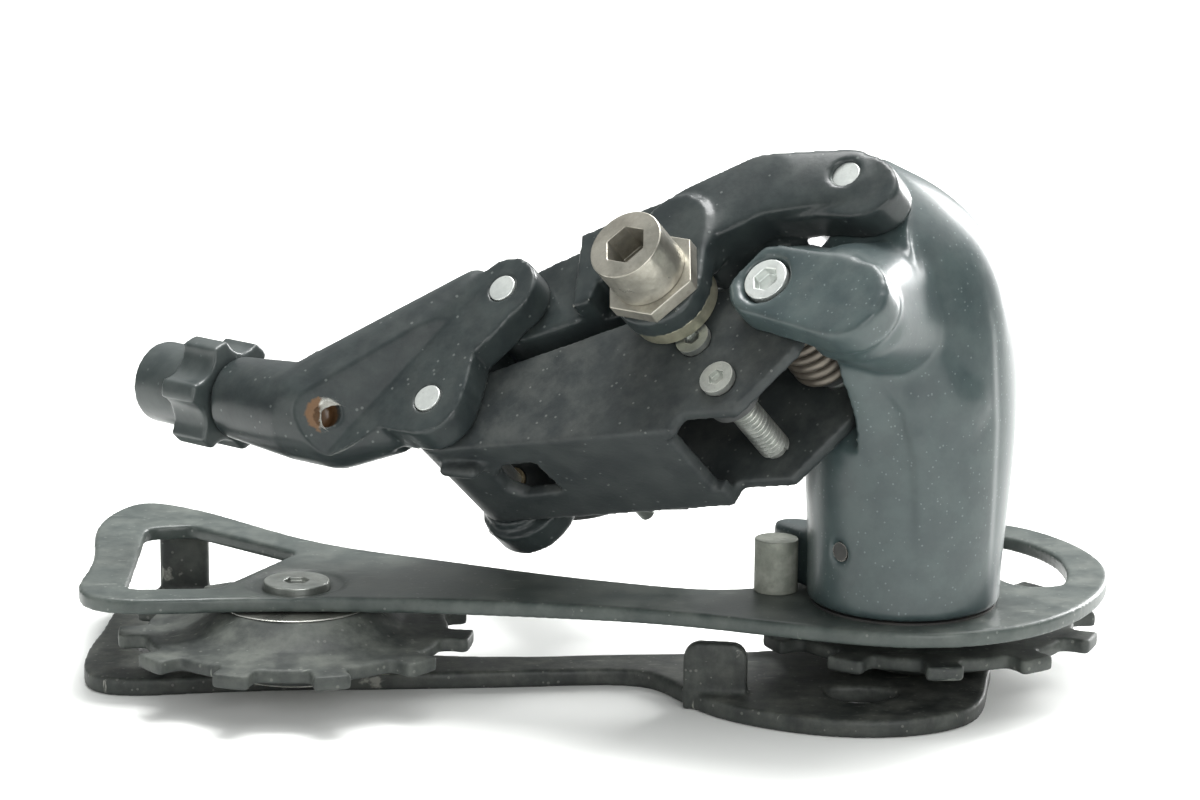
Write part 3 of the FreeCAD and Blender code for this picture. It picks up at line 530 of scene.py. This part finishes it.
def makeBracket():
    along = linkPlace @ Matrix(((0, 0, 1, 0), (1, 0, 0, -10.6), (0, 1, 0, 66.5), (0, 0, 0, 1)))
    flare = hullOf(along, (0, 0, 5.6, -73.7, -73.6), (0, 0, bracket["flare"], -61.0, -60.9))
    body = hullOf(linkPlace, (-61.0, -10.6, 66.5, bracket["flare"]), (-55.0, -10.8, 66.0, 6.2), bracket["ridgeEnd"],
                  (-54.0, 4.0, 63.5, 3.2), (-45.0, 6.0, 63.5, 3.0), (-46.0, -6.0, 62.5, 4.0))
    ears = [roundBar(linkPlace, -39.5, 12.3, 6.2, 43.6, 62.7), roundBar(linkPlace, -41.9, -5.4, 6.4, 43.6, 62.7),
            prism(linkPlace, [(-47.2, -20), (10, 0), (10, 60), (-44, 40), (-45.5, 16), (-47.2, 8)], 43.6, 62.7)]
    hole = roundBar(holePlace, 0, 0, bracket["holeRadius"], bracket["holeFloor"], 9)
    bores = [roundBar(along, 0, 0, 3.0, -90, -64), roundBar(along, 0, 0, 1.6, -90, -57)]
    farBoss = cutWith(roundBar(linkPlace, -41.2, -5.8, 6.4, 38.4, 42.6),
                      [roundBar(linkPlace, -41.2, -5.8, 4.3, 30, 39.5)])
    return castPiece("bracketCasting", "bracket_body", [flare, body, farBoss], ears + bores, [hole],
                     voxel=bracket["voxel"], rounds=4, sculpt=trimFace)


bracketCasting = makeBracket()
stainHole(bracketCasting, holePlace, bracket["stainLow"], bracket["stainHigh"],
          bracket["holeRadius"] + bracket["stainSpread"])


# outer link: a raised pad runs from the front pin round to the clamp arm

outerLink = {"rearPin": (-39.5, 12.3), "frontPin": (2.3, 37.8), "clamp": (-14.4, 16.2), "voxel": 0.36,
             "frontPad": (2.0, 37.6, 4.2, 62, 65.35), "bendPad": (-8.5, 33.4, 5.0, 62, 67.2),
             "armPad": (-15.4, 26.6, 5.2, 62.5, 68.2), "armFoot": (-15.4, 26.6, 5.2, 63, 68.2),
             "clampPad": (-14.8, 18.0, 5.0, 65.9, 69.0)}


def makeOuterLink():
    pad = [hullOf(linkPlace, outerLink["frontPad"], outerLink["bendPad"]),
           hullOf(linkPlace, outerLink["bendPad"], outerLink["armPad"]),
           hullOf(linkPlace, outerLink["armFoot"], outerLink["clampPad"]),
           hullOf(linkPlace, (-9.0, 36.0, 61.0, 2.2), (-40.0, 16.0, 56.0, 2.0), (-20.0, 22.0, 60.0, 3.0),
                  (-30.0, 22.0, 46.0, 2.0), (-9.0, 36.5, 46.0, 2.2))]
    rear, front, clamp = outerLink["rearPin"], outerLink["frontPin"], outerLink["clamp"]
    rooms = [roundBar(linkPlace, *rear, 7.2, 62.6, 90), roundBar(linkPlace, *rear, 7.2, 20, 43.7),
             roundBar(linkPlace, *front, 8.9, 46.0, 60.3), roundBar(linkPlace, *clamp, 6.1, 50, 65.7),
             roundBar(linkPlace, *clamp, 2.5, 60, 80), roundBar(linkPlace, *front, 1.9, 30, 80)]
    castPiece("outerLinkCasting", "outer_link", pad, rooms, voxel=outerLink["voxel"], rounds=5)


makeOuterLink()


# knuckle: the ear rolls over into the column along a ridge that fades towards the cage

knuckle = {"axis": (47.0, -53.2), "drum": (-5.0, -12.2), "pin": (-0.1, 20.1), "frontPin": (2.3, 37.8),
           "crease": ((-17.6, 53.6), (-10.6, 52.0), (-6.4, 47.8), (-2.6, 42.3), (-1.1, 36.9), (-0.4, 28.3),
                      (-0.2, 17.7)),
           "rise": 0.8, "creaseWidth": 1.2, "fade": 7.0, "voxel": 0.42,
           "sideEdge": ((16, 10.0), (30, 10.2), (40, 10.2), (52, 9.4), (62, 7.2), (68, 4.5), (73, 0.0)),
           "sideStep": 0.45}


# Signed distance to the crease: positive to its right.
def creaseSide(across, height):
    best = None
    for (x1, z1), (x2, z2) in zip(knuckle["crease"], knuckle["crease"][1:]):
        dx, dz = x2 - x1, z2 - z1
        share = min(1.0, max(0.0, ((across - x1) * dx + (height - z1) * dz) / (dx * dx + dz * dz)))
        gapX, gapZ = across - x1 - share * dx, height - z1 - share * dz
        distance = math.hypot(gapX, gapZ)
        side = 1.0 if dx * gapZ - dz * gapX > 0 else -1.0
        if best is None or distance < abs(best):
            best = side * distance
    return best


def sideEdgeAt(height):
    for (low, first), (high, second) in zip(knuckle["sideEdge"], knuckle["sideEdge"][1:]):
        if height <= high:
            return first + (second - first) * max(0.0, height - low) / (high - low)
    return 0.0


def raiseRidge(bm):
    front = Vector((-0.0837, -0.9965, 0.0))
    side = Vector((0.9965, -0.0837, 0.0))
    axis = Vector((*knuckle["axis"], 0.0))
    for vert in bm.verts:
        place = vert.co / millimetre - axis
        depth, across, height = place.dot(front), place.dot(side), place.z + 18.0
        if depth < 2.0 or height < 15.0 or vert.normal.dot(front) < 0.05:
            continue
        edge = sideEdgeAt(height)
        lift = knuckle["sideStep"] * smoothStep(height, 15, 26) * (1 - smoothStep(height, 44, 60))
        lift *= smoothStep(across, edge - 13.0, edge - 2.0) * (1 - smoothStep(across, edge, edge + 0.9))
        away = creaseSide(across, height)
        if away > 0:
            ridge = knuckle["rise"] * smoothStep(height, 18, 40) * (1 - smoothStep(height, 43, 50))
            lift += ridge * smoothStep(away, 0, knuckle["creaseWidth"]) * (1 - smoothStep(away, 2.0, knuckle["fade"]))
        vert.co += front * (lift * millimetre)


def makeKnuckle():
    def onColumn(across, depth, height, radius):
        place = Vector((-5.0 + 0.9965 * across - 0.0837 * depth, -12.2 - 0.0837 * across - 0.9965 * depth, height))
        return place.dot(linkAcross), place.dot(linkUp), place.dot(linkAlong), radius

    ear = hullOf(linkPlace, (*knuckle["pin"], 5.2, 62.75, 67.4), (10.5, 19.9, 5.5, 62.75, 67.3))
    bend = hullOf(linkPlace, (9.0, 19.9, 5.5, 60.0, 67.3), (12.5, 19.6, 5.2, 60.0, 66.2),
                  onColumn(-1.2, 8.2, 52.0, 6.4), onColumn(-2.0, 2.0, 56.0, 9.0))
    shoulder = hullOf(linkPlace, onColumn(-1.2, 8.2, 52.0, 6.4), onColumn(2.4, 5.4, 43.0, 8.8),
                      onColumn(-1.0, 2.4, 57.0, 9.4), onColumn(1.0, 3.0, 34.0, 10.0))
    x, y = knuckle["frontPin"]  # the front pin's arm sweeps through this sector
    sweep = [(x, y)] + [(x + 60 * math.cos(math.radians(angle)), y + 60 * math.sin(math.radians(angle)))
                        for angle in (106, 150, 200, 248)]
    rooms = [prism(linkPlace, sweep, 41.3, 95.3),
             prism(linkPlace, [(-30, -12), (3.5, -4), (7.2, 12), (6.4, 21.5), (2.6, 25.8), (-1.5, 28.8), (-30, 30)],
                   43.6, 62.7),
             roundBar(linkPlace, x, y, 8.9, 60.2, 90), roundBar(linkPlace, *knuckle["pin"], 5.8, 60.4, 62.7),
             roundBar(linkPlace, *knuckle["pin"], 2.5, 30, 80), roundBar(linkPlace, *knuckle["pin"], 3.35, 65.9, 80),
             roundBar(cagePlace, *knuckle["drum"], 10.75, 10, 38.5),
             roundBar(cagePlace, *knuckle["drum"], 3.7, 30, 47)]
    collar = roundBar(linkPlace, *knuckle["pin"], 5.3, 62.75, 67.4)
    castPiece("knuckleCasting", "knuckle_body", [ear, bend, shoulder, collar], rooms,
              voxel=knuckle["voxel"], rounds=9, sculpt=raiseRidge)


makeKnuckle()
castPiece("knobPiece", "adjuster_knob", voxel=0.24, rounds=8)


# pulleys, worn round, with shallow pockets between the teeth

pulleys = {"fillRadius": 20.3, "hubRadius": 15.0, "middle": 7.1, "half": 0.95, "voxel": 0.3}


def makePulley(name, node, centre):
    low, high = pulleys["middle"] - pulleys["half"], pulleys["middle"] + pulleys["half"]
    web = cutWith(roundBar(cagePlace, centre, 0, pulleys["fillRadius"], low, high, 96),
                  [roundBar(cagePlace, centre, 0, pulleys["hubRadius"], -5, 20)])
    castPiece(name, node, [web], voxel=pulleys["voxel"], rounds=6)


makePulley("guidePulleyPiece", "guide_pulley", 0.0)
makePulley("tensionPulleyPiece", "tension_pulley", tensionCentre)


# inner link: folded sheet with soft bends and a rolled lip round the notch

innerLink = {"lip": ((-17.9, -0.3, 61.9), (-15.0, 0.3, 61.6), (-11.0, 1.6, 61.4), (-7.0, 3.0, 61.6)),
             "tab": ((-40.6, -9.6, 58.2), (-36.4, -9.0, 58.2), (-36.0, -11.0, 59.4), (-40.4, -11.4, 59.4)),
             "lipRadius": 0.8, "tabRadius": 0.9, "voxel": 0.34}
lip = innerLink["lip"]
bead = [hullOf(linkPlace, (*first, innerLink["lipRadius"]), (*second, innerLink["lipRadius"]))
        for first, second in zip(lip, lip[1:])]
tab = hullOf(linkPlace, *((*corner, innerLink["tabRadius"]) for corner in innerLink["tab"]))
castPiece("innerLinkPiece", "inner_link", bead + [tab], voxel=innerLink["voxel"], rounds=6)


# cage plates, with softened edges and a shallow recess round the tension bolt

plates = {"recessTop": 7.4, "recessBottom": 6.2, "recessFloor": 13.5, "recessRim": 14.4, "voxel": 0.33}
recessLow, recessHigh = plates["recessFloor"], plates["recessRim"]
recess = hullOf(cagePlace, (tensionCentre, 0, plates["recessBottom"], recessLow, recessLow + 0.01),
                (tensionCentre, 0, plates["recessTop"], recessHigh, recessHigh + 0.1))
castPiece("outerPlate", "cage_outer_plate", cuts=[recess], voxel=plates["voxel"], rounds=3)
castPiece("innerPlate", "cage_inner_plate", voxel=plates["voxel"], rounds=3)


# screws: real threads on the two limit screws

limitScrews = {"low": (-3.2, 7.3, 16.3), "high": (-9.8, 12.2, 14.5), "radius": 2.0, "pitch": 0.8,
               "threadDepth": 0.45, "tipFrom": 62.5, "headFrom": 60.0, "shankTop": 60.4}


def threadedShank(place, x, y, low, high):
    bm = bmesh.new()
    radius, pitch = limitScrews["radius"], limitScrews["pitch"]
    half = radius - limitScrews["threadDepth"]
    profile = [(half, 0.0), (radius, 0.3 * pitch), (radius, 0.5 * pitch), (half, 0.8 * pitch), (half, pitch)]
    verts = [bm.verts.new((x + out, y, low + up)) for out, up in profile]
    edges = [bm.edges.new(pair) for pair in zip(verts, verts[1:])]
    turns = int((high - low) / pitch) - 1
    bmesh.ops.spin(bm, geom=verts + edges, cent=(x, y, 0), axis=(0, 0, 1), dvec=(0, 0, pitch / 28),
                   angle=math.radians(360 * turns), steps=28 * turns, use_merge=False)
    bmesh.ops.remove_doubles(bm, verts=bm.verts, dist=0.02)
    bmesh.ops.create_cone(bm, cap_ends=True, segments=28, radius1=half + 0.02, radius2=half + 0.02,
                          depth=high - low, matrix=Matrix.Translation(Vector((x, y, (low + high) / 2))))
    return placed(bm, place)


def makeLimitScrew(name):
    x, y, length = limitScrews[name]
    node = name + "_limit_screw"
    square = [(x - 5, y - 5), (x + 5, y - 5), (x + 5, y + 5), (x - 5, y + 5)]
    head = cutWith(cleanCad(node), [prism(linkPlace, square, 20.0, limitScrews["headFrom"])])
    shank = threadedShank(linkPlace, x, y, limitScrews["tipFrom"] - length, limitScrews["shankTop"])
    bm = bmesh.new()
    bm.from_mesh(head)
    bm.from_mesh(shank)
    shadeBy(bm, math.radians(30))
    mesh = bpy.data.meshes.new(name + "Screw")
    bm.to_mesh(mesh)
    bm.free()
    obj = asObject(name + "Screw", mesh)
    paint(obj, node)
    settle(obj, node)


for name in ("low", "high"):
    makeLimitScrew(name)


# turned and stamped pieces keep the CAD shape with broken edges

turned = {"bolts": 0.18, "pins": 0.15, "flushBolt": 0.2, "hangerLink": 0.25,  # bevel widths
          "headAbove": -0.0038, "headDrop": 0.0009}  # metres: the flush bolt's head sits this much lower


def makeTurned(width, *nodes):
    for node in nodes:
        obj = mergedCopy(node + ".piece", node)
        addBevel(obj, width)
        settle(obj, node)


makeTurned(turned["bolts"], "cable_clamp_bolt", "cable_clamp_plate", "front_inner_pin", "guide_pulley_bolt",
           "cage_stop_pin", "cable_clamp_nut", "hanger_bolt", "body_axle_bolt")
flushBolt = mergedCopy("flushBolt", "tension_pulley_bolt")
for vert in flushBolt.data.vertices:
    if vert.co.z > turned["headAbove"]:
        vert.co.z -= turned["headDrop"]
addBevel(flushBolt, turned["flushBolt"])
settle(flushBolt, "tension_pulley_bolt")

makeTurned(turned["pins"], "rear_inner_pin", "rear_outer_pin", "front_outer_pin", "b_tension_screw",
           "tension_dust_caps")

for node, obj in frame["nodes"].items():
    paint(obj, node)

makeTurned(turned["hangerLink"], "hanger_link")
print("pieces done")


# floor, lights and camera

studio = {"floorSize": 6.0, "floorHeight": -0.018, "worldShown": 1.0, "worldLight": 0.86, "sun": 1.9,
          "focal": 108.33, "distance": 0.480, "azimuth": -4.8, "elevation": 13.05, "roll": 0.5,
          "target": (0.00766, -0.041, 0.02061), "sunFrom": (0.35, 0.25, 1.0), "sunSpread": 80}
softBoxes = {"topBox": ((0.05, 0.10, 0.60), 5.0, 0.35, 0.25), "leftBox": ((-0.55, -0.30, 0.20), 0.8, 0.25, 0.4),
             "frontBox": ((0.15, -0.75, 0.25), 3.0, 0.5, 0.3), "rightBox": ((0.52, 0.42, 0.22), 8.0, 0.25, 0.5)}

bm = bmesh.new()
bmesh.ops.create_grid(bm, x_segments=1, y_segments=1, size=studio["floorSize"])
bmesh.ops.translate(bm, verts=bm.verts, vec=(0, 0, studio["floorHeight"]))
floorMesh = bpy.data.meshes.new("floor")
bm.to_mesh(floorMesh)
bm.free()
floor = asObject("floor", floorMesh)
floorPaint = bpy.data.materials.new("floorPaint")
floorPaint.use_nodes = True
floorShader = floorPaint.node_tree.nodes["Principled BSDF"]
floorShader.inputs["Base Color"].default_value = (0.86, 0.87, 0.85, 1)
floorShader.inputs["Roughness"].default_value = 0.8
floorMesh.materials.append(floorPaint)

world = bpy.data.worlds.new("studio")
bpy.context.scene.world = world
world.use_nodes = True
tree = world.node_tree
background = tree.nodes["Background"]
background.inputs["Color"].default_value = (0.97, 1.0, 0.99, 1)
path = tree.nodes.new("ShaderNodeLightPath")
skyPlace = tree.nodes.new("ShaderNodeTexCoord").outputs["Generated"]
heading = addNode(tree, "ShaderNodeSeparateXYZ", None, in0=skyPlace)
upper = rampBetween(tree, heading.outputs["Z"], -0.1, 0.75)
behind = rampBetween(tree, heading.outputs["Y"], -0.8, 0.5)
lit = mathNode(tree, "MULTIPLY", mathNode(tree, "ADD", 0.25, mathNode(tree, "MULTIPLY", upper, 0.75)),
               mathNode(tree, "ADD", 0.4, mathNode(tree, "MULTIPLY", behind, 0.6)))
sideways = rampBetween(tree, heading.outputs["X"], -0.8, 0.1)
lit = mathNode(tree, "MULTIPLY", lit, mathNode(tree, "ADD", 0.55, mathNode(tree, "MULTIPLY", sideways, 0.45)))
lit = mathNode(tree, "MULTIPLY", lit, studio["worldLight"])
hidden = mathNode(tree, "MULTIPLY", lit, mathNode(tree, "SUBTRACT", 1.0, path.outputs["Is Camera Ray"]))
shown = mathNode(tree, "MULTIPLY", path.outputs["Is Camera Ray"], studio["worldShown"])
tree.links.new(mathNode(tree, "ADD", shown, hidden), background.inputs["Strength"])


def addLight(name, kind, place, aim, energy):
    data = bpy.data.lights.new(name, kind)
    data.energy = energy
    light = bpy.data.objects.new(name, data)
    light.location = place
    light.rotation_euler = (Vector(aim) - Vector(place)).to_track_quat("-Z", "Y").to_euler()
    bpy.context.scene.collection.objects.link(light)
    return data


middle = studio["target"]
addLight("sky", "SUN", studio["sunFrom"], (0, 0, 0), studio["sun"]).angle = math.radians(studio["sunSpread"])
for name, (place, energy, width, height) in softBoxes.items():
    box = addLight(name, "AREA", place, middle, energy)
    box.shape = "RECTANGLE"
    box.size = width
    box.size_y = height
print("lights:", 1 + len(softBoxes))

azimuth, elevation, roll = (math.radians(studio[key]) for key in ("azimuth", "elevation", "roll"))
back = Vector((math.sin(azimuth) * math.cos(elevation), -math.cos(azimuth) * math.cos(elevation),
               math.sin(elevation)))
right = Vector((math.cos(azimuth), math.sin(azimuth), 0.0))
above = back.cross(right)
rightRolled = math.cos(roll) * right + math.sin(roll) * above
aboveRolled = -math.sin(roll) * right + math.cos(roll) * above
cameraData = bpy.data.cameras.new("camera")
cameraData.lens = studio["focal"]
cameraData.sensor_width = 36.0
cameraData.clip_start = 0.01
camera = bpy.data.objects.new("camera", cameraData)
turn = Matrix((rightRolled, aboveRolled, back)).transposed().to_4x4()
camera.matrix_world = Matrix.Translation(Vector(middle) + back * studio["distance"]) @ turn
bpy.context.scene.collection.objects.link(camera)
bpy.context.scene.camera = camera
bpy.context.scene.view_settings.view_transform = "Standard"
